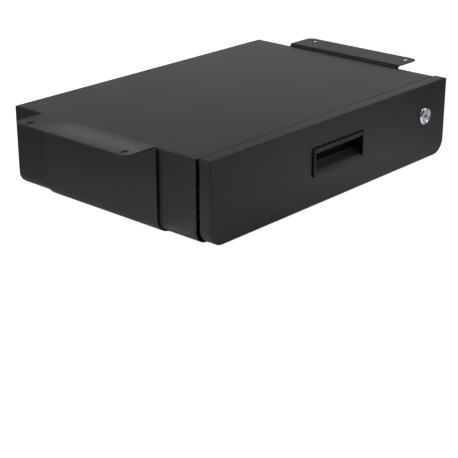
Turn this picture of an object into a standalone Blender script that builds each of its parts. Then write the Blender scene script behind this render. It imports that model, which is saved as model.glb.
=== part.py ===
"""Lockable under desk drawer: a steel case in a hanging cradle, with a drawer on telescopic ball slides.

Frame: +X to the right, +Y to the back, +Z up. The origin is the bottom centre of the whole object's box.
All sizes below are in millimetres and are turned into metres where a mesh is made.
"""

import math

import bmesh
import bpy
from mathutils import Vector

MM = 0.001
GAP = 0.3  # between pieces that touch on the real object

# Front panel: a shallow pan, open at the back
PANEL_WIDTH = 440.0
PANEL_HEIGHT = 98.0
PANEL_SHEET = 1.2
PANEL_CORNER = 18.5
PANEL_EDGE = 1.4
PANEL_DEPTH = 17.5
PANEL_SIDE_DEPTH = 16.2
PANEL_LIP = 6.0

# Case: a wrapped shell, a floor plate and a back pan
CASE_WIDTH = 441.0
CASE_SHEET = 1.2
CASE_FRONT = 21.0  # behind the panel's face
CASE_REAR = 313.0
CASE_DROP = 1.7  # its top below the panel's top
CASE_CORNER = 16.0
CASE_EDGE = 1.5
CASE_BOTTOM_FLANGE = 36.0
FLOOR_REAR = 300.0
BACK_DEPTH = 11.5
STRIKE_HEIGHT = 12.0
STRIKE_LEG = 12.0

# Cradle: one wide strap round the case, with a slotted wing on each side
CRADLE_SHEET = 1.5
CRADLE_FRONT = 76.5
CRADLE_REAR = 258.0
CRADLE_BEND = 3.5
STRAP_GAP = 1.8  # between the strap's sides and the case
WING_RISE = 1.0  # its top above the panel's top
WING_REACH = 268.0
WING_CORNER = 9.0
SLOT_X = 257.0
SLOT_Y = (89.0, 241.0)
SLOT_LENGTH = 11.0
SLOT_WIDTH = 5.5

# Heights, from the cradle's underside up
CASE_BOTTOM = CRADLE_SHEET + GAP
PANEL_TOP = 101.5
PANEL_BOTTOM = PANEL_TOP - PANEL_HEIGHT
CASE_TOP = PANEL_TOP - CASE_DROP
WING_TOP = PANEL_TOP + WING_RISE
CASE_WALL = CASE_WIDTH / 2 - CASE_SHEET  # inner face of the case's side

# Slides
SLIDE_SPACE = 12.7  # between the case's wall and the tray
RAIL_Z = 47.0
RAIL_SHEET = 1.2
CAGE_SHEET = 0.6
CASE_RAIL_Y = (26.0, 301.0)
MOVING_RAIL_Y = (28.0, 293.0)
OUTER_CAGE_Y = (100.0, 225.0)
INNER_CAGE_Y = (98.0, 224.0)
BALL_RADIUS = 1.4
BALLS_IN_ROW = 4

# Tray
TRAY_SHEET = 1.0
TRAY_FRONT_SHEET = 1.2
TRAY_WIDTH = 2 * (CASE_WALL - SLIDE_SPACE)
TRAY_FRONT = PANEL_DEPTH + GAP
TRAY_REAR = 300.5
TRAY_BOTTOM = 8.5
TRAY_TOP = 85.5

# Finger pull: a cup let into the panel from behind
PULL_X = -2.2
PULL_Z = PANEL_TOP - 45.2
BEZEL_SIZE = (95.4, 33.4)
BEZEL_PROUD = 2.5
PULL_GROOVE = 1.2  # open round the bezel, in the panel
PULL_FLANGE = 4.0  # beyond the bezel, behind the panel
PULL_OPENING = (88.8, 26.6)
CUP_WALL = 1.4
CUP_BACK = 2.5
PULL_SLOPE = 7.4  # the rise of the cup's floor to its back
PULL_FILLET = 7.0
PULL_LEAN = 4.0  # how far the cup's back wall leans forward at its top
PULL_LIP = 3.0  # hangs from the top of the opening, for the fingers to pull on
PULL_LIP_INSET = 1.8
PULL_SCREW = (30.0, -10.3)  # off the pull's centre

# Lock
LOCK_X = 172.2
LOCK_Z = PANEL_TOP - 39.3
LOCK_PROUD = 3.8
RING_RADIUS = 11.0
BARREL_RADIUS = 9.3
BARREL_BORE = 8.1
PLUG_RADIUS = 7.7
BARREL_REAR = 22.8
CAM_FRONT = 23.2
CAM_SHEET = 2.0
CAM_REACH = 31.5
STUB_HALF = 4.0

# Fasteners: places behind the panel's face, and heights
RIVET_Y = (100.0, 235.0)
CRADLE_SCREW_X = 198.0
BACK_SCREW_Y = 307.0
TRAY_SCREW_Y = (60.0, 250.0)
STANDOFF_X = 110.0
STANDOFF_Z = (22.0, 76.0)
BUMPER_X = 120.0
BUMPER_Z = 50.0

SIDES = {"left": -1, "right": 1}
ENDS = ("front", "rear")

# The panel's face lies in the plane y = FACE, which centres the whole object on the origin
FACE = LOCK_PROUD - (LOCK_PROUD + CASE_REAR) / 2


# Shapes -------------------------------------------------------------------------------------------

def rounded_path(corners, closed=False, segments=6):
    """The points of a path through corners of (a, b, radius), with each radius as an arc."""
    path = []
    for i, (a, b, radius) in enumerate(corners):
        here = Vector((a, b))
        if radius == 0 or (not closed and i in (0, len(corners) - 1)):
            path.append(here)
            continue
        before = (Vector(corners[i - 1][:2]) - here).normalized()
        after = (Vector(corners[(i + 1) % len(corners)][:2]) - here).normalized()
        half = before.angle(after) / 2
        centre = here + (before + after).normalized() * radius / math.sin(half)
        start = here + before * radius / math.tan(half) - centre
        end = here + after * radius / math.tan(half) - centre
        turn = math.atan2(start.x * end.y - start.y * end.x, start.dot(end))
        for step in range(segments + 1):
            angle = turn * step / segments
            path.append(centre + Vector((
                start.x * math.cos(angle) - start.y * math.sin(angle),
                start.x * math.sin(angle) + start.y * math.cos(angle),
            )))
    return path


def sheet_outline(corners, thickness, segments=6):
    """The outline of a bent sheet: a path, and the same path moved by the thickness to its left."""
    path = rounded_path(corners, segments=segments)
    ways = [(b - a).normalized() for a, b in zip(path, path[1:])]
    lefts = [Vector((-way.y, way.x)) for way in ways]
    moved = []
    for point, first, second in zip(path, lefts[:1] + lefts, lefts + lefts[-1:]):
        moved.append(point + (first + second) * thickness / (1 + first.dot(second)))
    return path + moved[::-1]


def rectangle(width, height, radius, centre=(0, 0), lower_radius=None, segments=4):
    """A rectangle's outline with rounded corners; the two lower corners may differ."""
    lower = radius if lower_radius is None else lower_radius
    a, b = centre
    x, y = width / 2, height / 2
    corners = [(a - x, b - y, lower), (a + x, b - y, lower), (a + x, b + y, radius), (a - x, b + y, radius)]
    return rounded_path(corners, closed=True, segments=segments)


def in_space(plane, a, b, c):
    """A point of a plane, and its distance along the plane's normal, in the object's frame."""
    x, y, z = {"XZ": (a, c, b), "XY": (a, b, c), "YZ": (c, a, b)}[plane]
    return Vector((x, y + FACE, z)) * MM


def loft(plane, rings, loop=False):
    """A closed shape through rings of (outline, distance), capped at both ends unless they form a loop."""
    shape = bmesh.new()
    rows = [[shape.verts.new(in_space(plane, a, b, c)) for a, b in outline] for outline, c in rings]
    for low, high in zip(rows, rows[1:] + rows[:1] if loop else rows[1:]):
        for i in range(len(low)):
            shape.faces.new((low[i - 1], low[i], high[i], high[i - 1]))
    if not loop:
        shape.faces.new(rows[0])
        shape.faces.new(rows[-1])
    bmesh.ops.recalc_face_normals(shape, faces=shape.faces)
    return shape


def prism(plane, outline, low, high):
    return loft(plane, [(outline, low), (outline, high)])


def box(x, y, z):
    """A box over three (low, high) ranges."""
    outline = [(x[0], z[0]), (x[1], z[0]), (x[1], z[1]), (x[0], z[1])]
    return prism("XZ", outline, y[0], y[1])


def circle(radius, centre, sides, first=0.0):
    return [
        (centre[0] + radius * math.cos(first + math.tau * i / sides),
         centre[1] + radius * math.sin(first + math.tau * i / sides))
        for i in range(sides)
    ]


def turned(plane, centre, profile, sides=12, bored=False):
    """A turned shape: a profile of (distance, radius) round an axis along the plane's normal."""
    rings = [(circle(radius, centre, sides), along) for along, radius in profile]
    return loft(plane, rings, loop=bored)


def ball(centre, radius):
    shape = bmesh.new()
    bmesh.ops.create_uvsphere(shape, u_segments=8, v_segments=4, radius=radius * MM)
    bmesh.ops.translate(shape, verts=shape.verts, vec=(Vector(centre) + Vector((0, FACE, 0))) * MM)
    return shape


# Objects ------------------------------------------------------------------------------------------

def clear_scene():
    for old in list(bpy.data.objects):
        bpy.data.objects.remove(old, do_unlink=True)


def material(name, colour, roughness, metallic=0.0):
    made = bpy.data.materials.get(name)
    if made is None:
        made = bpy.data.materials.new(name)
        made.use_nodes = True
        shader = made.node_tree.nodes["Principled BSDF"]
        shader.inputs["Base Color"].default_value = (*colour, 1)
        shader.inputs["Roughness"].default_value = roughness
        shader.inputs["Metallic"].default_value = metallic
    return made


def powder_coat():
    return material("black_powder_coat", (0.030, 0.030, 0.032), 0.5)


def zinc():
    return material("zinc_plated_steel", (0.55, 0.56, 0.58), 0.35, 1.0)


def chrome():
    return material("chrome", (0.80, 0.80, 0.82), 0.12, 1.0)


def black_plastic():
    return material("black_plastic", (0.022, 0.022, 0.024), 0.42)


def black_rubber():
    return material("black_rubber", (0.018, 0.018, 0.018), 0.8)


def body(name, x=0.0, y=0.0, z=0.0, parent=None):
    """An empty that carries the pieces of one moving body; a turning body's empty is on its axis."""
    empty = bpy.data.objects.new(name, None)
    bpy.context.scene.collection.objects.link(empty)
    place = Vector((x, y + FACE, z)) * MM
    if parent:
        place -= Vector(parent["place"])
        empty.parent = parent
    empty.location = place
    empty["place"] = Vector((x, y + FACE, z)) * MM
    return empty


def mesh_object(name, shapes, carrier):
    """One object from closed shapes given in the object's frame, carried by a body."""
    mesh = bpy.data.meshes.new(name)
    joined = bmesh.new()
    for shape in shapes:
        shape.to_mesh(mesh)
        joined.from_mesh(mesh)
        shape.free()
    bmesh.ops.translate(joined, verts=joined.verts, vec=-Vector(carrier["place"]))
    joined.to_mesh(mesh)
    joined.free()
    made = bpy.data.objects.new(name, mesh)
    made.parent = carrier
    bpy.context.scene.collection.objects.link(made)
    return made


def piece(name, shape, finish, carrier, cuts=(), adds=()):
    """A named sub-part: a shape, with other shapes added to it and then cut out of it."""
    made = mesh_object(name, [shape], carrier)
    made.data.materials.append(finish)
    made.data.shade_smooth()
    made.data.set_sharp_from_angle(angle=math.radians(30))
    for operation, shapes in (("UNION", adds), ("DIFFERENCE", cuts)):
        if not shapes:
            continue
        helper = mesh_object(f"{name}_{operation.lower()}", shapes, carrier)
        helper.hide_render = True
        helper.display_type = "WIRE"
        boolean = made.modifiers.new(operation.lower(), "BOOLEAN")
        boolean.operation = operation
        boolean.solver = "EXACT"
        boolean.use_self = True
        boolean.object = helper
    return made


def hexagon_nut(name, plane, place, span, radius, bore, carrier):
    """A nut of a radius over its corners, with a round bore."""
    low, high = span
    hole = turned(plane, place, [(low - 1, bore), (high + 1, bore)], sides=24 if bore > 5 else 12)
    piece(name, prism(plane, circle(radius, place, 6), low, high), zinc(), carrier, [hole])


# Fixed pieces: cradle and case --------------------------------------------------------------------

def slot_outline(x, y):
    """A slot along X with round ends."""
    return rectangle(SLOT_LENGTH, SLOT_WIDTH, SLOT_WIDTH / 2 - 0.01, centre=(x, y), segments=5)


def wing_corner_cut(side, y, into):
    """What the rounding of one wing corner takes away; into is +1 at the front corner and -1 at the rear."""
    edge = WING_REACH * side
    arc = rounded_path([
        (edge - side * 2 * WING_CORNER, y, 0), (edge, y, WING_CORNER), (edge, y + into * 2 * WING_CORNER, 0),
    ], segments=6)[1:-1]
    outside = [
        (edge + side, y + into * WING_CORNER), (edge + side, y - into), (edge - side * WING_CORNER, y - into),
    ]
    return prism("XY", arc + outside, WING_TOP - 4, WING_TOP + 2)


def cradle_screw_places():
    return {
        f"{end}_{name}": (side * CRADLE_SCREW_X, y)
        for name, side in SIDES.items() for end, y in zip(ENDS, RIVET_Y)
    }


def make_cradle(case):
    inner = CASE_WIDTH / 2 + STRAP_GAP
    bottom = CRADLE_SHEET
    corner = CASE_CORNER + STRAP_GAP
    outline = sheet_outline([
        (-WING_REACH, WING_TOP, 0), (-inner, WING_TOP, CRADLE_BEND), (-inner, bottom, corner),
        (inner, bottom, corner), (inner, WING_TOP, CRADLE_BEND), (WING_REACH, WING_TOP, 0),
    ], -CRADLE_SHEET)
    cuts = []
    for side in SIDES.values():
        cuts += [prism("XY", slot_outline(side * SLOT_X, y), WING_TOP - 4, WING_TOP + 2) for y in SLOT_Y]
        cuts.append(wing_corner_cut(side, CRADLE_FRONT, 1))
        cuts.append(wing_corner_cut(side, CRADLE_REAR, -1))
    for place in cradle_screw_places().values():
        cuts.append(turned("XY", place, [(-0.4, 5.0), (CRADLE_SHEET + 0.2, 2.7)]))
    piece("mounting_cradle", prism("XZ", outline, CRADLE_FRONT, CRADLE_REAR), powder_coat(), case, cuts)
    for place_name, place in cradle_screw_places().items():
        screw = turned("XY", place, [(0.2, 4.1), (1.9, 2.0), (7.8, 2.0)])
        piece(f"cradle_screw_{place_name}", screw, zinc(), case)
        low = CASE_BOTTOM + 2 * (CASE_SHEET + GAP)
        hexagon_nut(f"cradle_nut_{place_name}", "XY", place, (low, low + 2.6), 4.0, 2.4, case)


def make_case(case):
    half = CASE_WIDTH / 2
    flange = half - CASE_BOTTOM_FLANGE
    outline = sheet_outline([
        (-flange, CASE_BOTTOM, 0), (-half, CASE_BOTTOM, CASE_CORNER), (-half, CASE_TOP, CASE_EDGE),
        (half, CASE_TOP, CASE_EDGE), (half, CASE_BOTTOM, CASE_CORNER), (flange, CASE_BOTTOM, 0),
    ], -CASE_SHEET)
    places = cradle_screw_places().values()
    cuts = [turned("XY", place, [(CASE_BOTTOM - 1, 2.4), (CASE_BOTTOM + 3, 2.4)]) for place in places]
    for side in SIDES.values():
        countersink = [(CASE_BOTTOM - 0.3, 4.8), (CASE_BOTTOM + CASE_SHEET + 0.2, 2.6)]
        cuts.append(turned("XY", (side * CRADLE_SCREW_X, BACK_SCREW_Y), countersink))
        for y in RIVET_Y:
            span = sorted((side * (CASE_WALL - 1), side * (half + 1)))
            cuts.append(turned("YZ", (y, RAIL_Z), [(x, 2.2) for x in span]))
    piece("case_shell", prism("XZ", outline, CASE_FRONT, CASE_REAR), powder_coat(), case, cuts)

    inside = CASE_BOTTOM + CASE_SHEET + GAP  # the height where plates lie on the shell's bottom flanges
    floor_half = half - CASE_CORNER - 1
    floor = box((-floor_half, floor_half), (CASE_FRONT + 1, FLOOR_REAR), (inside, inside + CASE_SHEET))
    cuts = [turned("XY", place, [(inside - 1, 2.4), (inside + 3, 2.4)]) for place in places]
    piece("case_floor", floor, powder_coat(), case, cuts)

    make_case_back(case, inside)
    make_strike_bar(case)


def make_case_back(case, inside):
    top = CASE_TOP - CASE_SHEET - GAP
    width = 2 * (CASE_WALL - GAP)
    middle = (0, (inside + top) / 2)
    radius = CASE_CORNER - CASE_SHEET - GAP
    outer = rectangle(width, top - inside, 1.6, middle, lower_radius=radius)
    hollow = rectangle(
        width - 2 * CASE_SHEET, top - inside - 2 * CASE_SHEET, 0.4, middle, lower_radius=radius - CASE_SHEET)
    front = CASE_REAR - BACK_DEPTH
    cuts = [prism("XZ", hollow, front - 1, CASE_REAR - CASE_SHEET)]
    for side in SIDES.values():
        screw_place, bumper_place = (side * CRADLE_SCREW_X, BACK_SCREW_Y), (side * BUMPER_X, BUMPER_Z)
        cuts.append(turned("XY", screw_place, [(inside - 1, 2.4), (inside + 3, 2.4)]))
        cuts.append(turned("XZ", bumper_place, [(CASE_REAR - 3, 2.9), (CASE_REAR + 1, 2.9)]))
    piece("case_back", prism("XZ", outer, front, CASE_REAR), powder_coat(), case, cuts)
    for name, side in SIDES.items():
        head = CASE_BOTTOM + 0.2
        profile = [(head, 4.1), (head + 1.6, 2.0), (9.0, 1.6)]
        screw = turned("XY", (side * CRADLE_SCREW_X, BACK_SCREW_Y), profile)
        piece(f"back_screw_{name}", screw, zinc(), case)
        bumper = turned("XZ", (side * BUMPER_X, BUMPER_Z), [
            (TRAY_REAR + GAP, 5.5), (TRAY_REAR + GAP + 1.5, 7.0), (CASE_REAR - CASE_SHEET - GAP, 7.0),
            (CASE_REAR - CASE_SHEET - GAP, 2.5), (CASE_REAR - 0.2, 2.5),
        ])
        piece(f"back_bumper_{name}", bumper, black_rubber(), case)


def make_strike_bar(case):
    """An angle that stiffens the front of the case's top; the lock's cam turns up behind it."""
    top = CASE_TOP - CASE_SHEET - GAP
    front = CASE_FRONT + 0.4
    outline = sheet_outline([
        (front + STRIKE_LEG, top, 0), (front, top, CASE_EDGE), (front, top - STRIKE_HEIGHT, 0),
    ], CASE_SHEET, segments=3)
    reach = CASE_WALL - 2
    piece("front_strike_bar", prism("YZ", outline, -reach, reach), powder_coat(), case)


# Slides -------------------------------------------------------------------------------------------

def rail_outline(side, corners, thickness, bend=1.4):
    """A rail's section from corners of its upper half: (distance off the case's wall, height)."""
    upper = [(u, v, bend) for u, v in corners]
    whole = upper + [(u, -v, radius) for u, v, radius in upper[::-1]]
    placed = [(side * (CASE_WALL - u), RAIL_Z + v, radius) for u, v, radius in whole]
    return sheet_outline(placed, thickness, segments=2)


def ball_rows(side, u, v, span):
    """The balls of a cage, in an upper and a lower row."""
    low, high = span
    pitch = (high - low) / BALLS_IN_ROW
    return [
        ball((side * (CASE_WALL - u), low + pitch * (i + 0.5), RAIL_Z + row * v), BALL_RADIUS)
        for row in (-1, 1) for i in range(BALLS_IN_ROW)
    ]


def make_slide(name, side, case, drawer, middle, outer_cage, inner_cage):
    """The three members of one telescopic slide, the two ball cages between them, and its fixings."""
    case_rail = rail_outline(side, [(10.0, 13.6), (10.0, 17.5), (GAP, 17.5)], -side * RAIL_SHEET)
    cuts = []
    for y in RIVET_Y:
        cone = [(CASE_WALL - u, radius) for u, radius in ((2.0, 4.6), (GAP - 0.2, 2.2))]
        cuts.append(turned("YZ", (y, RAIL_Z), [(side * x, radius) for x, radius in cone]))
    piece(f"case_rail_{name}", prism("XZ", case_rail, *CASE_RAIL_Y), zinc(), case, cuts)
    for end, y in zip(ENDS, RIVET_Y):
        profile = [(1.4, 3.4), (0.2, 1.8), (-CASE_SHEET + 0.1, 1.8)]
        rivet = turned("YZ", (y, RAIL_Z), [(side * (CASE_WALL - u), radius) for u, radius in profile])
        piece(f"rail_rivet_{end}_{name}", rivet, zinc(), case)

    middle_rail = rail_outline(side, [(10.6, 12.9), (3.0, 12.9)], -side * RAIL_SHEET)
    piece(f"middle_rail_{name}", prism("XZ", middle_rail, *MOVING_RAIL_Y), zinc(), middle)

    tray_rail = rail_outline(side, [(5.4, 8.3), (SLIDE_SPACE - GAP, 8.3)], side * RAIL_SHEET)
    tray_face = CASE_WALL - SLIDE_SPACE
    cuts = [
        turned("YZ", (y, RAIL_Z), [(side * (tray_face - 1), 2.3), (side * (tray_face + 3), 2.3)])
        for y in TRAY_SCREW_Y
    ]
    piece(f"tray_rail_{name}", prism("XZ", tray_rail, *MOVING_RAIL_Y), zinc(), drawer, cuts)
    for end, y in zip(ENDS, TRAY_SCREW_Y):
        under_head = tray_face - TRAY_SHEET - GAP
        profile = [(under_head - 2.0, 2.8), (under_head - 1.4, 3.8), (under_head, 3.8), (under_head, 1.9),
                   (tray_face + 2.2, 1.9)]
        screw = turned("YZ", (y, RAIL_Z), [(side * x, radius) for x, radius in profile])
        piece(f"tray_rail_screw_{end}_{name}", screw, zinc(), drawer)

    cage = rail_outline(side, [(8.4, 14.9), (1.9, 14.9)], -side * CAGE_SHEET, bend=0.8)
    balls = ball_rows(side, 5.6, 14.6, OUTER_CAGE_Y)
    piece(f"outer_ball_cage_{name}", prism("XZ", cage, *OUTER_CAGE_Y), zinc(), outer_cage, adds=balls)
    cage = rail_outline(side, [(10.0, 10.3), (4.5, 10.3)], -side * CAGE_SHEET, bend=0.8)
    balls = ball_rows(side, 7.6, 10.0, INNER_CAGE_Y)
    piece(f"inner_ball_cage_{name}", prism("XZ", cage, *INNER_CAGE_Y), zinc(), inner_cage, adds=balls)

    across = sorted(side * (CASE_WALL - u) for u in (RAIL_SHEET + 2 * GAP, 11.0))
    stop = box(across, (MOVING_RAIL_Y[1] + 0.5, CASE_RAIL_Y[1] - 1), (RAIL_Z - 6, RAIL_Z + 6))
    piece(f"rail_stop_{name}", stop, black_rubber(), case)


# Drawer -------------------------------------------------------------------------------------------

def panel_outline(inset):
    """The panel's front outline, moved in by inset."""
    middle = (0, (PANEL_TOP + PANEL_BOTTOM) / 2)
    return rectangle(
        PANEL_WIDTH - 2 * inset, PANEL_HEIGHT - 2 * inset, max(2.0 - inset, 0.3), middle,
        lower_radius=PANEL_CORNER - inset, segments=7)


def make_panel(drawer):
    edge = [
        (PANEL_EDGE * (1 - math.sin(angle)), PANEL_EDGE * (1 - math.cos(angle)))
        for angle in (0, math.pi / 4, math.pi / 2)
    ]
    rings = [(panel_outline(inset), y) for inset, y in edge] + [(panel_outline(0), PANEL_DEPTH)]
    behind_sides = (PANEL_SIDE_DEPTH - 0.1, PANEL_DEPTH + 5)
    cuts = [
        prism("XZ", panel_outline(PANEL_SHEET), PANEL_SHEET, PANEL_SIDE_DEPTH),
        box((-PANEL_WIDTH, PANEL_WIDTH), behind_sides, (-10, PANEL_TOP - PANEL_LIP)),
        prism("XZ", pull_outline(BEZEL_SIZE, PULL_GROOVE), -5, 5),
        turned("XZ", (LOCK_X, LOCK_Z), [(-5, BARREL_RADIUS + 0.4), (5, BARREL_RADIUS + 0.4)], sides=24),
    ]
    piece("front_panel", loft("XZ", rings), powder_coat(), drawer, cuts)
    for name, side in SIDES.items():
        for level, z in zip(("lower", "upper"), STANDOFF_Z):
            place = (side * STANDOFF_X, z)
            standoff = turned("XZ", place, [
                (PANEL_SHEET + GAP, 4.5), (PANEL_DEPTH, 4.5), (PANEL_DEPTH, 2.4), (9.0, 2.4),
            ])
            piece(f"panel_standoff_{level}_{name}", standoff, zinc(), drawer)
            head = TRAY_FRONT + TRAY_FRONT_SHEET + GAP
            screw = turned("XZ", place, [
                (11.0, 1.9), (head, 1.9), (head, 3.8), (head + 1.4, 3.8), (head + 2.0, 2.8),
            ])
            piece(f"panel_screw_{level}_{name}", screw, zinc(), drawer)


def make_tray(drawer):
    half = TRAY_WIDTH / 2
    cuts = [
        box((TRAY_SHEET - half, half - TRAY_SHEET), (TRAY_FRONT + TRAY_FRONT_SHEET, TRAY_REAR - TRAY_SHEET),
            (TRAY_BOTTOM + TRAY_SHEET, TRAY_TOP + 5)),
        turned("XZ", (LOCK_X, LOCK_Z), [(TRAY_FRONT - 1, 10.0), (TRAY_FRONT + 3, 10.0)], sides=24),
    ]
    front = (TRAY_FRONT - 1, TRAY_FRONT + 3)
    for side in SIDES.values():
        cuts.append(turned("XZ", pull_screw_place(side), [(y, 1.9) for y in front], sides=10))
        for z in STANDOFF_Z:
            cuts.append(turned("XZ", (side * STANDOFF_X, z), [(y, 2.3) for y in front]))
        for y in TRAY_SCREW_Y:
            span = (side * (half - 3), side * (half + 1))
            cuts.append(turned("YZ", (y, RAIL_Z), [(x, 2.3) for x in span]))
    shape = box((-half, half), (TRAY_FRONT, TRAY_REAR), (TRAY_BOTTOM, TRAY_TOP))
    piece("drawer_tray", shape, powder_coat(), drawer, cuts)


def pull_outline(size, more, radius=2.0):
    """An outline round the pull's centre, larger than a size by a margin on every side."""
    return rectangle(size[0] + 2 * more, size[1] + 2 * more, max(radius + more, 0.4), (PULL_X, PULL_Z))


def pull_screw_place(side):
    return PULL_X + side * PULL_SCREW[0], PULL_Z + PULL_SCREW[1]


def make_pull(drawer):
    """A bezel, a flange behind the panel, and a cup with a sloping floor and a lip to pull on."""
    width, height = PULL_OPENING
    behind = PANEL_SHEET + GAP
    cup_end = TRAY_FRONT - GAP
    back = cup_end - CUP_BACK
    low, high = PULL_Z - height / 2, PULL_Z + height / 2
    bezel, flange = pull_outline(BEZEL_SIZE, 0), pull_outline(BEZEL_SIZE, PULL_FLANGE)
    cup = pull_outline(PULL_OPENING, CUP_WALL)
    rings = [
        (pull_outline(BEZEL_SIZE, -0.8), -BEZEL_PROUD), (bezel, 0.8 - BEZEL_PROUD), (bezel, behind),
        (flange, behind), (flange, behind + CUP_WALL), (cup, behind + CUP_WALL), (cup, cup_end),
    ]
    roof = high - 1.0
    lip = (-0.8, 2.0)
    hollow = [Vector((-6, low))] + rounded_path([
        (-BEZEL_PROUD, low, 0), (back, low + PULL_SLOPE, PULL_FILLET), (back - PULL_LEAN, roof, 0),
    ]) + [Vector(corner) for corner in (
        (lip[1], roof), (lip[1], high - PULL_LIP), (lip[0], high - PULL_LIP), (lip[0], high), (-6, high))]
    cuts = [prism("YZ", hollow, PULL_X - width / 2, PULL_X + width / 2)]
    for side in SIDES.values():
        end = PULL_X + side * width / 2
        past_lip = sorted((end, end - side * PULL_LIP_INSET))
        cuts.append(box(past_lip, (lip[0] - 1, lip[1] + 1), (high - PULL_LIP - 1, high)))
        cuts.append(turned("XZ", pull_screw_place(side), [(10.5, 1.7), (cup_end + 1, 1.7)], sides=10))
    piece("finger_pull", loft("XZ", rings), black_plastic(), drawer, cuts)
    for name, side in SIDES.items():
        head = TRAY_FRONT + TRAY_FRONT_SHEET + GAP
        profile = [(11.0, 1.4), (head, 1.4), (head, 2.8), (head + 1.2, 2.8)]
        screw = turned("XZ", pull_screw_place(side), profile, sides=10)
        piece(f"pull_screw_{name}", screw, zinc(), drawer)


# Lock ---------------------------------------------------------------------------------------------

def square_bar(half, front, rear):
    """A square bar on the lock's axis."""
    return box((LOCK_X - half, LOCK_X + half), (front, rear), (LOCK_Z - half, LOCK_Z + half))


def make_lock(drawer, core):
    axis = (LOCK_X, LOCK_Z)
    barrel = turned("XZ", axis, [
        (0.6 - LOCK_PROUD, BARREL_BORE), (-LOCK_PROUD, BARREL_BORE + 0.7), (-LOCK_PROUD, RING_RADIUS - 1.6),
        (1.4 - LOCK_PROUD, RING_RADIUS - 0.2), (-1.2, RING_RADIUS), (-GAP, RING_RADIUS),
        (-GAP, BARREL_RADIUS), (BARREL_REAR, BARREL_RADIUS), (BARREL_REAR, BARREL_BORE),
    ], sides=32, bored=True)
    notches = []
    for angle in (math.radians(63), math.radians(117)):
        place = (LOCK_X + math.cos(angle) * RING_RADIUS, LOCK_Z + math.sin(angle) * RING_RADIUS)
        notches.append(turned("XZ", place, [(-LOCK_PROUD - 1, 1.3), (-1.4, 1.3)], sides=8))
    piece("lock_barrel", barrel, chrome(), drawer, notches)

    behind = PANEL_SHEET + GAP
    hexagon_nut("lock_nut", "XZ", axis, (behind, behind + 3.5), 13.0, BARREL_RADIUS + 0.4, drawer)

    shoulder = BARREL_REAR - GAP
    stub_end = CAM_FRONT + CAM_SHEET - 0.2
    plug = turned("XZ", axis, [
        (0.5 - LOCK_PROUD, PLUG_RADIUS - 0.3), (0.8 - LOCK_PROUD, PLUG_RADIUS), (shoulder, PLUG_RADIUS),
    ], sides=32)
    stub = square_bar(STUB_HALF, shoulder - 2, stub_end)
    keyway = box((LOCK_X - 3.5, LOCK_X + 3.5), (-LOCK_PROUD - 1, 12.0), (LOCK_Z - 1.2, LOCK_Z + 1.2))
    thread = turned("XZ", axis, [(16.0, 2.4), (stub_end + 1, 2.4)])
    piece("lock_plug", plug, chrome(), core, [keyway, thread], [stub])

    hub, arm, tip = 8.5, 6.0, 3.0
    arm_start = math.asin(arm / hub)
    outline = [(LOCK_X + hub * math.cos(angle), LOCK_Z + hub * math.sin(angle)) for angle in [
        -math.pi + arm_start + (math.tau - 2 * arm_start) * step / 14 for step in range(15)
    ]] + [tuple(point) for point in rounded_path([
        (LOCK_X - hub, LOCK_Z + arm, 0), (LOCK_X - CAM_REACH, LOCK_Z + arm, tip),
        (LOCK_X - CAM_REACH, LOCK_Z - arm, tip), (LOCK_X - hub, LOCK_Z - arm, 0),
    ], segments=4)[1:-1]]
    hole = square_bar(STUB_HALF + GAP, CAM_FRONT - 1, CAM_FRONT + 4)
    piece("lock_cam", prism("XZ", outline, CAM_FRONT, CAM_FRONT + CAM_SHEET), zinc(), core, [hole])

    head = CAM_FRONT + CAM_SHEET + GAP
    screw = turned("XZ", axis, [(17.0, 2.0), (head, 2.0), (head, 6.5), (head + 2.0, 6.5), (head + 2.6, 5.6)])
    piece("lock_cam_screw", screw, zinc(), core)


def main():
    clear_scene()
    case = body("case")
    drawer = body("drawer", z=RAIL_Z)
    core = body("lock_core", LOCK_X, 0.0, LOCK_Z, parent=drawer)
    make_cradle(case)
    make_case(case)
    for name, side in SIDES.items():
        x = side * CASE_WALL
        moving = [
            body(f"{kind}_{name}_carrier", x, 0.0, RAIL_Z)
            for kind in ("middle_rail", "outer_cage", "inner_cage")
        ]
        make_slide(name, side, case, drawer, *moving)
    make_panel(drawer)
    make_tray(drawer)
    make_pull(drawer)
    make_lock(drawer, core)
    bpy.context.view_layer.update()


main()
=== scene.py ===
"""The looks of the under desk drawer: each CAD node gets a finely meshed piece with a procedural material.

Sizes are in millimetres, in the CAD model's own layout, and are turned into metres where a mesh is made.
"""

import math

import bmesh
import bpy
from mathutils import Matrix, Vector


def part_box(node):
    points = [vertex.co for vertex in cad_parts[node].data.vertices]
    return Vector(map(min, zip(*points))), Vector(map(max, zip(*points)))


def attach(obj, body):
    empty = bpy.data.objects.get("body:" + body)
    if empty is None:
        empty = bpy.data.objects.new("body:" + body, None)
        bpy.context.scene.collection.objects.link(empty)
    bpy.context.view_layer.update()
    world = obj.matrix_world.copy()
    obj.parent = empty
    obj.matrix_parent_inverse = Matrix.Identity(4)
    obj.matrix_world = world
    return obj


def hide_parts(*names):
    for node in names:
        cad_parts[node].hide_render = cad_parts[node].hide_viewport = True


MM = 0.001
GAP = 0.3

PANEL_WIDTH = 440.0
PANEL_HEIGHT = 98.0
PANEL_SHEET = 1.2
PANEL_CORNER = 18.5
PANEL_EDGE = 1.4
PANEL_DEPTH = 17.5
PANEL_SIDE_DEPTH = 16.2
PANEL_LIP = 6.0

CASE_WIDTH = 441.0
CASE_SHEET = 1.2
CASE_FRONT = 21.0
CASE_REAR = 313.0
CASE_DROP = 1.7
CASE_CORNER = 16.0
CASE_EDGE = 1.5
CASE_BOTTOM_FLANGE = 36.0
FLOOR_REAR = 300.0
BACK_DEPTH = 11.5
STRIKE_HEIGHT = 12.0
STRIKE_LEG = 12.0

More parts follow.
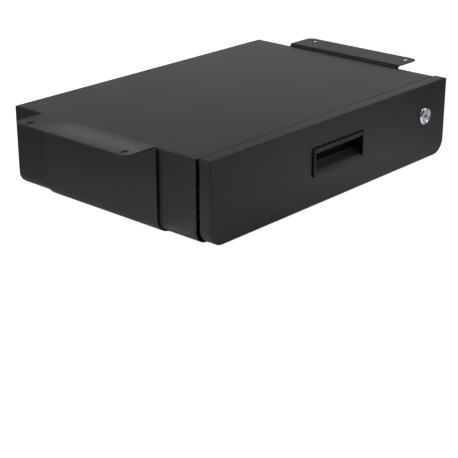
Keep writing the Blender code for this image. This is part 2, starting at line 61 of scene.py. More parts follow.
CRADLE_SHEET = 1.5
CRADLE_FRONT = 76.5
CRADLE_REAR = 258.0
CRADLE_BEND = 3.5
STRAP_GAP = 1.8
WING_RISE = 1.0
WING_REACH = 268.0
WING_CORNER = 9.0
SLOT_X = 257.0
SLOT_Y = (89.0, 241.0)
SLOT_LENGTH = 11.0
SLOT_WIDTH = 5.5

CASE_BOTTOM = CRADLE_SHEET + GAP
PANEL_TOP = 101.5
PANEL_BOTTOM = PANEL_TOP - PANEL_HEIGHT
CASE_TOP = PANEL_TOP - CASE_DROP
WING_TOP = PANEL_TOP + WING_RISE
CASE_WALL = CASE_WIDTH / 2 - CASE_SHEET

SLIDE_SPACE = 12.7
RAIL_Z = 47.0
RAIL_SHEET = 1.2
CAGE_SHEET = 0.6
CASE_RAIL_Y = (26.0, 301.0)
MOVING_RAIL_Y = (28.0, 293.0)
OUTER_CAGE_Y = (100.0, 225.0)
INNER_CAGE_Y = (98.0, 224.0)
BALL_RADIUS = 1.4
BALLS_IN_ROW = 4

TRAY_SHEET = 1.0
TRAY_FRONT_SHEET = 1.2
TRAY_WIDTH = 2 * (CASE_WALL - SLIDE_SPACE)
TRAY_FRONT = PANEL_DEPTH + GAP
TRAY_REAR = 300.5
TRAY_BOTTOM = 8.5
TRAY_TOP = 85.5

PULL_X = -2.2
PULL_Z = PANEL_TOP - 45.2
BEZEL_SIZE = (95.4, 33.4)
BEZEL_PROUD = 2.5
PULL_GROOVE = 1.2
PULL_FLANGE = 4.0
PULL_OPENING = (88.8, 26.6)
CUP_WALL = 1.4
CUP_BACK = 2.5
PULL_SLOPE = 7.4
PULL_FILLET = 7.0
PULL_LEAN = 4.0
PULL_LIP = 3.0
PULL_LIP_INSET = 1.8
PULL_SCREW = (30.0, -10.3)
PAINTED_SHADE_START = 1.0  # faces behind this get painted shade, a near-black copy of the cup's plastic
PAINTED_LIGHT_UPWARD = 0.5  # and painted light, a greyer copy on the ramp, where they face upwards by more than this

LOCK_X = 172.2
LOCK_Z = PANEL_TOP - 39.3
LOCK_PROUD = 3.8
RING_RADIUS = 11.0
BARREL_RADIUS = 9.3
BARREL_BORE = 8.1
PLUG_RADIUS = 7.7
BARREL_REAR = 22.8
CAM_FRONT = 23.2
CAM_SHEET = 2.0
CAM_REACH = 31.5
STUB_HALF = 4.0

RIVET_Y = (100.0, 235.0)
CRADLE_SCREW_X = 198.0
BACK_SCREW_Y = 307.0
TRAY_SCREW_Y = (60.0, 250.0)
STANDOFF_X = 110.0
STANDOFF_Z = (22.0, 76.0)
BUMPER_X = 120.0
BUMPER_Z = 50.0

CASE_SCREW_HOLE = 2.4  # radii of holes, screws and their heads
TRAY_SCREW_HOLE = 2.3
PULL_SCREW_HOLE = 1.9
RIVET_HOLE = 2.2
SUNK_HEAD = 4.1
SUNK_SHANK = 2.0
ROUND_HEAD = 3.8
ROUND_SHANK = 1.9
STANDOFF_RADIUS = 4.5
LOCK_NUT_RADIUS = 13.0
CROSS_ARM = 0.14  # a cross recess: its arms' half width, as a share of their reach
CROSS_TAPER = 0.55  # and how much of its size is left at its bottom

SIDES = {"left": -1, "right": 1}
ENDS = ("front", "rear")
ROUND = 48  # sides of a small round piece
MOST_OFF = 0.6  # how far a piece's box may lie from its CAD node's box
SHARP = math.radians(32)  # edges that turn by more are rounded

# The studio, in metres and watts
CAMERA_LENS = 102.021
CAMERA_SENSOR = 36.0
CAMERA_PLACE = (-1.14798, -1.01372, 0.53732)
CAMERA_RIGHT = (0.6682764, -0.743913, -9.24e-05)
CAMERA_FORWARD = (0.6898683, 0.6197731, -0.3741162)
FLOOR_REACH = 12.0
FLOOR_BELOW = -0.0004
FLOOR_TONE = 0.80
FLOOR_GLOW = 0.96  # towards the camera only
WORLD_GLOW = 1.0  # towards the camera only
WORLD_LIGHT = 0.005
LAMP_COLOUR = (0.98, 0.98, 1.04)
MIDDLE = (0.0, 0.0, 0.1)  # the spot that the large lamps face
LAMPS = {  # name: place, the spot it faces, size, power and, for a narrow beam, its spread in degrees
    "low_softbox": ((1.75, 1.55, 0.45), MIDDLE, (2.0, 0.8), 5.68),
    "right_softbox": ((2.2, 0.7, 0.7), MIDDLE, (1.0, 0.9), 0.2),
    "back_left_softbox": ((-1.5, 1.5, 1.4), MIDDLE, (1.4, 1.4), 8.0),
    "front_right_softbox": ((1.4, -1.6, 1.5), MIDDLE, (1.4, 1.4), 6.0),
    "front_left_softbox": ((-1.5, -1.5, 1.4), MIDDLE, (1.4, 1.4), 6.0),
    "left_overhead": ((-0.45, -0.25, 1.1), (-0.45, -0.25, 0.0), (0.7, 0.7), 0.56, 90),
    "left_light": ((-0.62, 0.0, 0.7), (-0.25, -0.03, 0.1), (0.4, 0.4), 0.44, 60),
    "wing_strip": ((-0.2445, -0.02, 0.5), (-0.2445, -0.02, 0.0), (0.006, 0.15), 0.03, 9),
    "front_strip": ((0.14, -0.25, 0.6), (0.14, -0.25, 0.0), (0.30, 0.06), 0.202, 50),
    "edge_light": ((1.656, -1.488, 0.864), (-0.1, -0.15, 0.1), (0.3, 0.3), 3.0),
}

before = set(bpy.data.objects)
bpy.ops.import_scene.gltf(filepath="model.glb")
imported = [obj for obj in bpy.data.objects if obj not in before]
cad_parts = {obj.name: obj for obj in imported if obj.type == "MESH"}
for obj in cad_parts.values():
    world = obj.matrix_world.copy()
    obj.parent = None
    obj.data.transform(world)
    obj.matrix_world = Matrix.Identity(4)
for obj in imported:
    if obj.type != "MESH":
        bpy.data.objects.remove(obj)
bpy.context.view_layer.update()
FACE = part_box("front_panel")[0].y / MM


# Shapes -------------------------------------------------------------------------------------------

def quarter_turn(steps):
    return [math.pi / 2 * step / steps for step in range(steps + 1)]


def rounded_path(corners, closed=False, segments=12):
    """Points along straight runs between corners of (a, b, radius), with an arc at each corner."""
    path = []
    for i, (a, b, radius) in enumerate(corners):
        here = Vector((a, b))
        if radius == 0 or (not closed and i in (0, len(corners) - 1)):
            path.append(here)
            continue
        before = (Vector(corners[i - 1][:2]) - here).normalized()
        after = (Vector(corners[(i + 1) % len(corners)][:2]) - here).normalized()
        half = before.angle(after) / 2
        centre = here + (before + after).normalized() * radius / math.sin(half)
        start = here + before * radius / math.tan(half) - centre
        end = here + after * radius / math.tan(half) - centre
        turn = math.atan2(start.x * end.y - start.y * end.x, start.dot(end))
        for step in range(segments + 1):
            angle = turn * step / segments
            path.append(centre + Vector((
                start.x * math.cos(angle) - start.y * math.sin(angle),
                start.x * math.sin(angle) + start.y * math.cos(angle),
            )))
    return path


def sheet_outline(corners, thickness, segments=12):
    """The outline of a bent sheet: a path, and the same path moved by the thickness to its left."""
    path = rounded_path(corners, segments=segments)
    ways = [(b - a).normalized() for a, b in zip(path, path[1:])]
    lefts = [Vector((-way.y, way.x)) for way in ways]
    moved = []
    for point, first, second in zip(path, lefts[:1] + lefts, lefts + lefts[-1:]):
        moved.append(point + (first + second) * thickness / (1 + first.dot(second)))
    return path + moved[::-1]


def rectangle(width, height, radius, centre=(0, 0), lower_radius=None, segments=8):
    """A round-cornered rectangle, whose two lower corners may have a radius of their own."""
    lower = radius if lower_radius is None else lower_radius
    a, b = centre
    x, y = width / 2, height / 2
    corners = [(a - x, b - y, lower), (a + x, b - y, lower), (a + x, b + y, radius), (a - x, b + y, radius)]
    return rounded_path(corners, closed=True, segments=segments)


def in_space(plane, a, b, c):
    """A point given in a plane and by its distance along the plane's normal, in metres."""
    x, y, z = {"XZ": (a, c, b), "XY": (a, b, c), "YZ": (c, a, b)}[plane]
    return Vector((x, y + FACE, z)) * MM


def loft(plane, rings, loop=False):
    """A closed shape through rings of (outline, distance), capped at both ends unless they form a loop."""
    shape = bmesh.new()
    rows = [[shape.verts.new(in_space(plane, a, b, c)) for a, b in outline] for outline, c in rings]
    for low, high in zip(rows, rows[1:] + rows[:1] if loop else rows[1:]):
        for i in range(len(low)):
            shape.faces.new((low[i - 1], low[i], high[i], high[i - 1]))
    if not loop:
        shape.faces.new(rows[0])
        shape.faces.new(rows[-1])
    bmesh.ops.recalc_face_normals(shape, faces=shape.faces)
    return shape


def prism(plane, outline, low, high):
    return loft(plane, [(outline, low), (outline, high)])


def box(x, y, z):
    outline = [(x[0], z[0]), (x[1], z[0]), (x[1], z[1]), (x[0], z[1])]
    return prism("XZ", outline, y[0], y[1])


def circle(radius, centre, sides):
    angles = [math.tau * i / sides for i in range(sides)]
    return [(centre[0] + radius * math.cos(angle), centre[1] + radius * math.sin(angle)) for angle in angles]


def turned(plane, centre, profile, sides=ROUND, bored=False):
    """A turned shape: a profile of (distance, radius) round an axis along the plane's normal."""
    rings = [(circle(radius, centre, sides), along) for along, radius in profile]
    return loft(plane, rings, loop=bored)


def ball(centre, radius):
    shape = bmesh.new()
    bmesh.ops.create_icosphere(shape, subdivisions=3, radius=radius * MM)
    bmesh.ops.translate(shape, verts=shape.verts, vec=(Vector(centre) + Vector((0, FACE, 0))) * MM)
    return shape


# Materials ----------------------------------------------------------------------------------------

class Finish:
    """A material's node tree, with short calls for the nodes that these finishes are made from."""

    def __init__(self, name, **sockets):
        self.material = bpy.data.materials.new(name)
        self.material.use_nodes = True
        self.tree = self.material.node_tree
        self.shader = self.tree.nodes["Principled BSDF"]
        self.place = self.tree.nodes.new("ShaderNodeTexCoord").outputs["Object"]
        for socket, value in sockets.items():
            self.shader.inputs[socket.replace("_", " ")].default_value = value

    def add(self, kind, **settings):
        node = self.tree.nodes.new(kind)
        for setting, value in settings.items():
            setattr(node, setting, value)
        return node

    def join(self, source, target):
        self.tree.links.new(source, target)

    def stretched(self, scale, centre=(0, 0, 0)):
        mapping = self.add("ShaderNodeMapping")
        mapping.inputs["Scale"].default_value = scale
        mapping.inputs["Location"].default_value = [-c * s for c, s in zip(centre, scale)]
        self.join(self.place, mapping.inputs["Vector"])
        return mapping.outputs["Vector"]

    def noise(self, scale, detail=2.0, roughness=0.5, place=None):
        node = self.add("ShaderNodeTexNoise")
        node.inputs["Scale"].default_value = scale
        node.inputs["Detail"].default_value = detail
        node.inputs["Roughness"].default_value = roughness
        self.join(place or self.place, node.inputs["Vector"])
        return node.outputs["Fac"]

    def between(self, factor, low, high, span=(0.3, 0.7)):
        """A factor as a number from low to high."""
        node = self.add("ShaderNodeMapRange")
        for socket, value in zip(("From Min", "From Max", "To Min", "To Max"), (*span, low, high)):
            node.inputs[socket].default_value = value
        self.join(factor, node.inputs["Value"])
        return node.outputs["Result"]

    def colours(self, factor, low, high, span=(0.3, 0.7)):
        node = self.add("ShaderNodeMix", data_type="RGBA")
        self.join(self.between(factor, 0.0, 1.0, span), node.inputs["Factor"])
        node.inputs["A"].default_value = (*low, 1)
        node.inputs["B"].default_value = (*high, 1)
        return node.outputs["Result"]

    def bump(self, height, depth, under=None):
        node = self.add("ShaderNodeBump")
        node.inputs["Strength"].default_value = 1.0
        node.inputs["Distance"].default_value = depth
        self.join(height, node.inputs["Height"])
        if under:
            self.join(under, node.inputs["Normal"])
        return node.outputs["Normal"]

    def set(self, **sources):
        for socket, source in sources.items():
            self.join(source, self.shader.inputs[socket.replace("_", " ")])
        return self.material


def powder_coat(name, ior, roughness):
    """Satin black: a slight orange peel under a finer grain, with a faint cloudiness."""
    finish = Finish(name, IOR=ior)
    peel = finish.bump(finish.noise(650.0, detail=1.0), 0.000012)
    grain = finish.bump(finish.noise(3200.0, detail=3.0, roughness=0.6), 0.000006, under=peel)
    cloud = finish.noise(14.0, detail=3.0)
    speckle = finish.noise(2100.0, detail=2.0)
    return finish.set(
        Base_Color=finish.colours(speckle, (0.0085, 0.0086, 0.0092), (0.0125, 0.0126, 0.0134)),
        Roughness=finish.between(cloud, roughness, roughness + 0.02),
        Normal=grain,
    )


def zinc():
    """Bright zinc on rolled steel: fine streaks along the length, and a mottled blue-white tone."""
    finish = Finish("zinc_plate", Metallic=1.0)
    streaks = finish.noise(1.0, detail=4.0, roughness=0.7, place=finish.stretched((4200, 90, 4200)))
    mottle = finish.noise(160.0, detail=3.0)
    return finish.set(
        Base_Color=finish.colours(mottle, (0.50, 0.51, 0.53), (0.64, 0.65, 0.68)),
        Roughness=finish.between(streaks, 0.24, 0.40),
        Normal=finish.bump(streaks, 0.000004),
    )


def chrome():
    """Polished chrome plate with faint wipe marks."""
    finish = Finish("chrome_plate", Metallic=1.0)
    wipes = finish.noise(900.0, detail=4.0, roughness=0.7)
    return finish.set(
        Base_Color=finish.colours(wipes, (0.86, 0.87, 0.89), (0.92, 0.93, 0.95)),
        Roughness=finish.between(wipes, 0.10, 0.17),
        Normal=finish.bump(finish.noise(260.0), 0.000004),
    )


def turned_chrome():
    """A lathe-turned face: rings round the lock's axis that spread each highlight along a radius."""
    finish = Finish("turned_chrome", Metallic=1.0, Anisotropic=0.6)
    centre = Vector((LOCK_X, FACE, LOCK_Z)) * MM
    rings = finish.add("ShaderNodeTexWave", wave_type="RINGS", rings_direction="Y")
    rings.inputs["Scale"].default_value = 900.0
    rings.inputs["Distortion"].default_value = 1.5
    rings.inputs["Detail"].default_value = 3.0
    finish.join(finish.stretched((1, 1, 1), centre), rings.inputs["Vector"])
    stain = finish.noise(420.0, detail=3.0)
    return finish.set(
        Base_Color=finish.colours(stain, (0.80, 0.81, 0.84), (0.92, 0.92, 0.93)),
        Roughness=finish.between(rings.outputs["Fac"], 0.20, 0.30, span=(0, 1)),
        Normal=finish.bump(rings.outputs["Fac"], 0.000006),
    )


def black_plastic():
    """Moulded black plastic with a fine spark-eroded texture."""
    finish = Finish("black_plastic", IOR=1.44)
    grain = finish.noise(2600.0, detail=3.0, roughness=0.6)
    return finish.set(
        Base_Color=finish.colours(finish.noise(30.0), (0.0080, 0.0080, 0.0085), (0.0110, 0.0110, 0.0116)),
        Roughness=finish.between(grain, 0.42, 0.50),
        Normal=finish.bump(grain, 0.000006),
    )


def painted_light_and_shade_plastic(name, tone):
    """The plastic inside the pull's cup, coarse and matt, whose tone is painted light and shade: a near-black
    copy paints the shade on the cup's walls, a greyer one the light on the ramp.
    """
    finish = Finish(name, IOR=1.2)
    grain = finish.noise(1500.0, detail=3.0, roughness=0.6)
    dark, light = (tone, tone, tone * 1.04), (tone * 1.2, tone * 1.2, tone * 1.25)
    return finish.set(
        Base_Color=finish.colours(finish.noise(30.0), dark, light),
        Roughness=finish.between(grain, 0.66, 0.78),
        Normal=finish.bump(grain, 0.000012),
    )


def black_rubber():
    """Matt moulded rubber with a dusty bloom."""
    finish = Finish("black_rubber", IOR=1.5)
    grain = finish.noise(1900.0, detail=4.0, roughness=0.65)
    bloom = finish.noise(70.0, detail=3.0)
    return finish.set(
        Base_Color=finish.colours(bloom, (0.010, 0.010, 0.010), (0.020, 0.020, 0.019)),
        Roughness=finish.between(grain, 0.66, 0.82),
        Normal=finish.bump(grain, 0.00002),
    )


FINISHES = {
    "powder_coat": powder_coat("powder_coat", ior=1.5, roughness=0.42),
    "cradle_coat": powder_coat("cradle_coat", ior=1.60, roughness=0.45),
    "zinc_steel": zinc(),
    "chrome": chrome(),
    "turned": turned_chrome(),
    "black_plastic": black_plastic(),
    # painted shade and painted light: the cup's walls get a near-black copy of the plastic, its ramp a
    # greyer, lit-looking one
    "cup": painted_light_and_shade_plastic("painted_light_and_shade_plastic", tone=0.004),
    "ramp": painted_light_and_shade_plastic("painted_light_ramp_plastic", tone=0.048),
    "black_rubber": black_rubber(),
}


# Pieces -------------------------------------------------------------------------------------------

def mesh_from(name, shapes):
    mesh = bpy.data.meshes.new(name)
    joined = bmesh.new()
    for shape in shapes:
        shape.to_mesh(mesh)
        joined.from_mesh(mesh)
        shape.free()
    joined.to_mesh(mesh)
    joined.free()
    return mesh


def combined(made, operation, shapes):
    """Adds shapes to an object's mesh, or cuts them out of it."""
    helper = bpy.data.objects.new("helper", mesh_from("helper", shapes))
    bpy.context.scene.collection.objects.link(helper)
    boolean = made.modifiers.new("boolean", "BOOLEAN")
    boolean.operation, boolean.solver, boolean.use_self, boolean.object = operation, "EXACT", True, helper
    graph = bpy.context.evaluated_depsgraph_get()
    result = bpy.data.meshes.new_from_object(made.evaluated_get(graph))
    made.modifiers.clear()
    bpy.data.objects.remove(helper)
    made.data = result


def piece(node, shape, finish, carrier, cuts=(), adds=(), edge=0.3, steps=3):
    """The fine piece for a CAD node: a shape with others added and cut, and its edges rounded."""
    made = bpy.data.objects.new(f"{node}_fine", mesh_from(node, [shape]))
    bpy.context.scene.collection.objects.link(made)
    if adds:
        combined(made, "UNION", adds)
    if cuts:
        combined(made, "DIFFERENCE", cuts)
    made.data.materials.clear()
    made.data.materials.append(FINISHES[finish])
    made.data.shade_smooth()
    if edge:
        bevel = made.modifiers.new("edges", "BEVEL")
        bevel.width, bevel.segments = edge * MM, steps
        bevel.limit_method, bevel.angle_limit = "ANGLE", SHARP
        bevel.use_clamp_overlap = False
    made.modifiers.new("shading", "WEIGHTED_NORMAL")
    off = 0.0
    for own, low, high in zip(zip(*made.bound_box), *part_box(node)):
        off = max(off, abs(min(own) - low), abs(max(own) - high))
    if off > MOST_OFF * MM:
        raise ValueError(f"{node} is {off / MM:.2f} mm off its CAD node")
    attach(made, carrier)
    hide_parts(node)
    return made


def cross_recess(plane, place, top, depth, size, way):
    """The cross in a screw's head; way is the direction from the head's top into the screw."""
    a, b = place
    bottom = top + way * depth
    outer = top - way
    half = size * CROSS_ARM
    shapes = []
    for width, height in ((size, half), (half, size)):
        corners = ((-width, -height), (width, -height), (width, height), (-width, height))
        wide = [(a + p, b + q) for p, q in corners]
        deep = [(a + p * CROSS_TAPER, b + q * CROSS_TAPER) for p, q in corners]
        rings = sorted([(wide, outer), (wide, top), (deep, bottom)], key=lambda ring: ring[1])
        shapes.append(loft(plane, rings))
    return shapes


def hexagon_nut(node, plane, place, span, radius, bore, carrier):
    low, high = span
    hole = turned(plane, place, [(low - 1, bore), (high + 1, bore)])
    chamfer = radius * 0.06
    rings = [
        (circle(radius - chamfer, place, 6), low), (circle(radius, place, 6), low + chamfer),
        (circle(radius, place, 6), high - chamfer), (circle(radius - chamfer, place, 6), high),
    ]
    piece(node, loft(plane, rings), "zinc_steel", carrier, [hole], edge=0.15, steps=2)


def screw_hole(plane, place, low, high, radius):
    return turned(plane, place, [(low, radius), (high, radius)])


def slot_outline(x, y):
    return rectangle(SLOT_LENGTH, SLOT_WIDTH, SLOT_WIDTH / 2 - 0.01, centre=(x, y), segments=12)


def wing_corner_cut(side, y, into):
    """What is cut off a wing's outer corner at y to leave it round; into is the way along Y into the wing."""
    edge = WING_REACH * side
    arc = rounded_path([
        (edge - side * 2 * WING_CORNER, y, 0), (edge, y, WING_CORNER), (edge, y + into * 2 * WING_CORNER, 0),
    ], segments=16)[1:-1]
    outside = [
        (edge + side, y + into * WING_CORNER), (edge + side, y - into), (edge - side * WING_CORNER, y - into),
    ]
    return prism("XY", arc + outside, WING_TOP - 4, WING_TOP + 2)


def cradle_screw_places():
    return {
        f"{end}_{name}": (side * CRADLE_SCREW_X, y)
        for name, side in SIDES.items() for end, y in zip(ENDS, RIVET_Y)
    }


def make_cradle():
    """The strap under the case, bent out into a slotted wing at each side, and the screws that hold it."""
    inner = CASE_WIDTH / 2 + STRAP_GAP
    corner = CASE_CORNER + STRAP_GAP
    outline = sheet_outline([
        (-WING_REACH, WING_TOP, 0), (-inner, WING_TOP, CRADLE_BEND), (-inner, CRADLE_SHEET, corner),
        (inner, CRADLE_SHEET, corner), (inner, WING_TOP, CRADLE_BEND), (WING_REACH, WING_TOP, 0),
    ], -CRADLE_SHEET)
    cuts = []
    for side in SIDES.values():
        cuts += [prism("XY", slot_outline(side * SLOT_X, y), WING_TOP - 4, WING_TOP + 2) for y in SLOT_Y]
        cuts.append(wing_corner_cut(side, CRADLE_FRONT, 1))
        cuts.append(wing_corner_cut(side, CRADLE_REAR, -1))
    for place in cradle_screw_places().values():
        cuts.append(turned("XY", place, [(-0.4, 5.0), (CRADLE_SHEET + 0.2, 2.7)]))
    piece("mounting_cradle", prism("XZ", outline, CRADLE_FRONT, CRADLE_REAR), "cradle_coat", "case", cuts)
    for place_name, place in cradle_screw_places().items():
        screw = turned("XY", place, [(0.2, SUNK_HEAD), (1.9, SUNK_SHANK), (7.8, SUNK_SHANK)])
        recess = cross_recess("XY", place, 0.2, 1.5, 2.2, 1)
        piece(f"cradle_screw_{place_name}", screw, "zinc_steel", "case", recess, edge=0.1, steps=2)
        low = CASE_BOTTOM + 2 * (CASE_SHEET + GAP)
        hexagon_nut(f"cradle_nut_{place_name}", "XY", place, (low, low + 2.6), 4.0, CASE_SCREW_HOLE, "case")


def make_case():
    """The wrapped shell, the floor over its underside, its back, and the bar that the cam locks behind."""
    half = CASE_WIDTH / 2
    flange = half - CASE_BOTTOM_FLANGE
    outline = sheet_outline([
        (-flange, CASE_BOTTOM, 0), (-half, CASE_BOTTOM, CASE_CORNER), (-half, CASE_TOP, CASE_EDGE),
        (half, CASE_TOP, CASE_EDGE), (half, CASE_BOTTOM, CASE_CORNER), (flange, CASE_BOTTOM, 0),
    ], -CASE_SHEET)
    places = cradle_screw_places().values()
    cuts = [screw_hole("XY", place, CASE_BOTTOM - 1, CASE_BOTTOM + 3, CASE_SCREW_HOLE) for place in places]
    for side in SIDES.values():
        countersink = [(CASE_BOTTOM - 0.3, 4.8), (CASE_BOTTOM + CASE_SHEET + 0.2, 2.6)]
        cuts.append(turned("XY", (side * CRADLE_SCREW_X, BACK_SCREW_Y), countersink))
        for y in RIVET_Y:
            span = sorted((side * (CASE_WALL - 1), side * (half + 1)))
            cuts.append(screw_hole("YZ", (y, RAIL_Z), *span, RIVET_HOLE))
    shell = prism("XZ", outline, CASE_FRONT, CASE_REAR)
    piece("case_shell", shell, "powder_coat", "case", cuts, edge=0.55, steps=5)

    inside = CASE_BOTTOM + CASE_SHEET + GAP
    floor_half = half - CASE_CORNER - 1
    floor = box((-floor_half, floor_half), (CASE_FRONT + 1, FLOOR_REAR), (inside, inside + CASE_SHEET))
    cuts = [screw_hole("XY", place, inside - 1, inside + 3, CASE_SCREW_HOLE) for place in places]
    piece("case_floor", floor, "powder_coat", "case", cuts)

    make_case_back(inside)
    top = CASE_TOP - CASE_SHEET - GAP
    front = CASE_FRONT + 0.4
    outline = sheet_outline([
        (front + STRIKE_LEG, top, 0), (front, top, CASE_EDGE), (front, top - STRIKE_HEIGHT, 0),
    ], CASE_SHEET)
    reach = CASE_WALL - 2
    piece("front_strike_bar", prism("YZ", outline, -reach, reach), "powder_coat", "case")


def make_case_back(inside):
    """The back pan, its screws and the drawer's rubber bumpers; inside is the height of the case's floor."""
    top = CASE_TOP - CASE_SHEET - GAP
    width = 2 * (CASE_WALL - GAP)
    middle = (0, (inside + top) / 2)
    radius = CASE_CORNER - CASE_SHEET - GAP
    front = CASE_REAR - BACK_DEPTH
    rings = []
    edge = 1.4
    for angle in quarter_turn(6):
        inset = edge * (1 - math.cos(angle))
        outline = rectangle(
            width - 2 * inset, top - inside - 2 * inset, 1.6 - inset, middle, radius - inset, segments=12)
        rings.append((outline, CASE_REAR - edge * (1 - math.sin(angle))))
    rings.insert(0, (rings[0][0], front))
    hollow = rectangle(
        width - 2 * CASE_SHEET, top - inside - 2 * CASE_SHEET, 0.4, middle, radius - CASE_SHEET, segments=12)
    cuts = [prism("XZ", hollow, front - 1, CASE_REAR - CASE_SHEET)]
    for side in SIDES.values():
        place = (side * CRADLE_SCREW_X, BACK_SCREW_Y)
        cuts.append(screw_hole("XY", place, inside - 1, inside + 3, CASE_SCREW_HOLE))
        cuts.append(screw_hole("XZ", (side * BUMPER_X, BUMPER_Z), CASE_REAR - 3, CASE_REAR + 1, 2.9))
    piece("case_back", loft("XZ", rings), "powder_coat", "case", cuts, edge=0.2)
    for name, side in SIDES.items():
        head = CASE_BOTTOM + 0.2
        place = (side * CRADLE_SCREW_X, BACK_SCREW_Y)
        screw = turned("XY", place, [(head, SUNK_HEAD), (head + 1.6, SUNK_SHANK), (9.0, 1.6)])
        recess = cross_recess("XY", place, head, 1.3, 2.0, 1)
        piece(f"back_screw_{name}", screw, "zinc_steel", "case", recess, edge=0.1, steps=2)
        bumper = turned("XZ", (side * BUMPER_X, BUMPER_Z), [
            (TRAY_REAR + GAP, 5.2), (TRAY_REAR + GAP + 0.4, 6.2), (TRAY_REAR + GAP + 1.5, 7.0),
            (CASE_REAR - CASE_SHEET - GAP, 7.0), (CASE_REAR - CASE_SHEET - GAP, 2.5), (CASE_REAR - 0.2, 2.5),
        ])
        piece(f"back_bumper_{name}", bumper, "black_rubber", "case")


# Slides -------------------------------------------------------------------------------------------

def rail_outline(side, corners, thickness, bend=1.4):
    """A rail's section from corners of its upper half, as (distance from the case's wall, height)."""
    upper = [(u, v, bend) for u, v in corners]
    whole = upper + [(u, -v, radius) for u, v, radius in upper[::-1]]
    placed = [(side * (CASE_WALL - u), RAIL_Z + v, radius) for u, v, radius in whole]
    return sheet_outline(placed, thickness, segments=8)


def ball_rows(side, u, v, span):
    """Two rows of balls, v above and below the rails' middle and u away from the case's wall."""
    low, high = span
    pitch = (high - low) / BALLS_IN_ROW
    return [
        ball((side * (CASE_WALL - u), low + pitch * (i + 0.5), RAIL_Z + row * v), BALL_RADIUS)
        for row in (-1, 1) for i in range(BALLS_IN_ROW)
    ]


def make_slide(name, side):
    """One side's slide: the case's rail, the middle rail and the tray's rail, with two cages of balls."""
    case_rail = rail_outline(side, [(10.0, 13.6), (10.0, 17.5), (GAP, 17.5)], -side * RAIL_SHEET)
    cuts = []
    for y in RIVET_Y:
        cone = [(CASE_WALL - u, radius) for u, radius in ((2.0, 4.6), (GAP - 0.2, 2.2))]
        cuts.append(turned("YZ", (y, RAIL_Z), [(side * x, radius) for x, radius in cone]))
    case_shape = prism("XZ", case_rail, *CASE_RAIL_Y)
    piece(f"case_rail_{name}", case_shape, "zinc_steel", "case", cuts, edge=0.2, steps=2)
    for end, y in zip(ENDS, RIVET_Y):
        profile = [(1.4, 3.4), (0.2, 1.8), (-CASE_SHEET + 0.1, 1.8)]
        rivet = turned("YZ", (y, RAIL_Z), [(side * (CASE_WALL - u), radius) for u, radius in profile])
        piece(f"rail_rivet_{end}_{name}", rivet, "zinc_steel", "case", edge=0.15, steps=2)

    middle_rail = rail_outline(side, [(10.6, 12.9), (3.0, 12.9)], -side * RAIL_SHEET)
    middle_shape = prism("XZ", middle_rail, *MOVING_RAIL_Y)
    piece(f"middle_rail_{name}", middle_shape, "zinc_steel", f"middle_rail_{name}", edge=0.2, steps=2)

    tray_rail = rail_outline(side, [(5.4, 8.3), (SLIDE_SPACE - GAP, 8.3)], side * RAIL_SHEET)
    tray_face = CASE_WALL - SLIDE_SPACE
    span = (side * (tray_face - 1), side * (tray_face + 3))
    cuts = [screw_hole("YZ", (y, RAIL_Z), *span, TRAY_SCREW_HOLE) for y in TRAY_SCREW_Y]
    tray_shape = prism("XZ", tray_rail, *MOVING_RAIL_Y)
    piece(f"tray_rail_{name}", tray_shape, "zinc_steel", "drawer", cuts, edge=0.2, steps=2)
    for end, y in zip(ENDS, TRAY_SCREW_Y):
        under_head = tray_face - TRAY_SHEET - GAP
        profile = [
            (under_head - 2.0, 2.8), (under_head - 1.75, 3.3), (under_head - 1.4, 3.6),
            (under_head - 0.9, ROUND_HEAD), (under_head, ROUND_HEAD), (under_head, ROUND_SHANK),
            (tray_face + 2.2, ROUND_SHANK),
        ]
        screw = turned("YZ", (y, RAIL_Z), [(side * x, radius) for x, radius in profile])
        recess = cross_recess("YZ", (y, RAIL_Z), side * (under_head - 2.0), 1.4, 2.0, side)
        piece(f"tray_rail_screw_{end}_{name}", screw, "zinc_steel", "drawer", recess, edge=0.1, steps=2)

    for kind, corners, row, span in (
        ("outer", [(8.4, 14.9), (1.9, 14.9)], (5.6, 14.6), OUTER_CAGE_Y),
        ("inner", [(10.0, 10.3), (4.5, 10.3)], (7.6, 10.0), INNER_CAGE_Y),
    ):
        cage = prism("XZ", rail_outline(side, corners, -side * CAGE_SHEET, bend=0.8), *span)
        node = f"{kind}_ball_cage_{name}"
        piece(node, cage, "zinc_steel", node, adds=ball_rows(side, *row, span), edge=0.1, steps=2)

    across = sorted(side * (CASE_WALL - u) for u in (RAIL_SHEET + 2 * GAP, 11.0))
    stop = box(across, (MOVING_RAIL_Y[1] + 0.5, CASE_RAIL_Y[1] - 1), (RAIL_Z - 6, RAIL_Z + 6))
    piece(f"rail_stop_{name}", stop, "black_rubber", "case", edge=0.8, steps=4)


# Drawer -------------------------------------------------------------------------------------------

def panel_outline(inset):
    middle = (0, (PANEL_TOP + PANEL_BOTTOM) / 2)
    return rectangle(
        PANEL_WIDTH - 2 * inset, PANEL_HEIGHT - 2 * inset, max(2.0 - inset, 0.3), middle,
        lower_radius=PANEL_CORNER - inset, segments=24)


